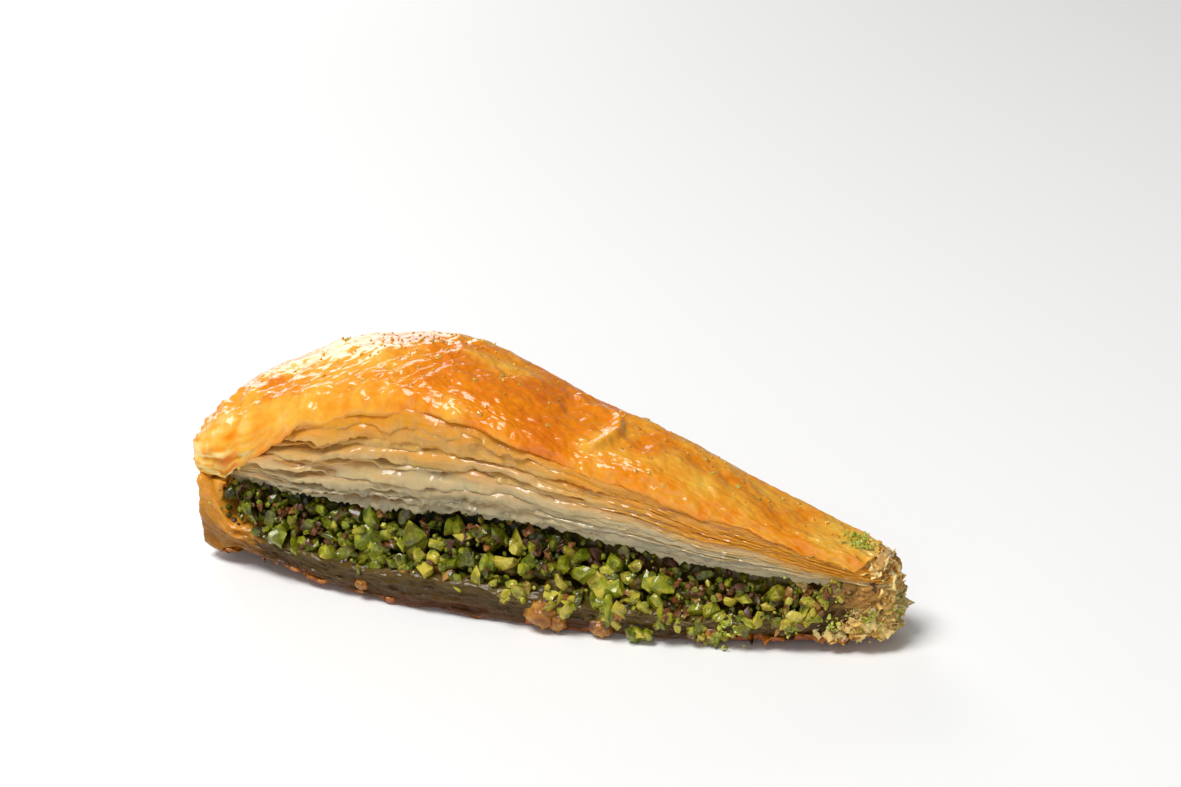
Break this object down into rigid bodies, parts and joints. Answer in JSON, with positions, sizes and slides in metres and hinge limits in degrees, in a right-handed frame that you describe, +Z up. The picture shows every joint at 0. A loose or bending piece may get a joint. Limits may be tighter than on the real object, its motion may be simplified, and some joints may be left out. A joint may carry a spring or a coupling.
{
  "type": "baklava slice",
  "caption": "Long wedge slice of pistachio baklava: puffed, browned thin sheets over a bed of chopped nuts and a soaked bottom crust.",
  "frame": {"origin": "middle of the slice's box, on the surface that the slice rests on", "axes": "+X from the wide closed end to the narrow tip, +Y to the back cut side, +Z up; the shown cut side faces -Y"},
  "size_m": [0.1298, 0.0436, 0.042],
  "materials": {
    "browned_pastry": "browned, syrup-glazed thin pastry sheets, paler and matt on the cut sides",
    "chopped_pistachio": "chopped pistachio kernels with some skins, wet with syrup",
    "soaked_pastry": "syrup-soaked pastry sheets with a browned underside"
  },
  "bodies": {
    "root": {"bottom_sheets": "soaked_pastry", "pistachio_filling": "chopped_pistachio", "top_sheets": "browned_pastry"}
  },
  "joints": []
}
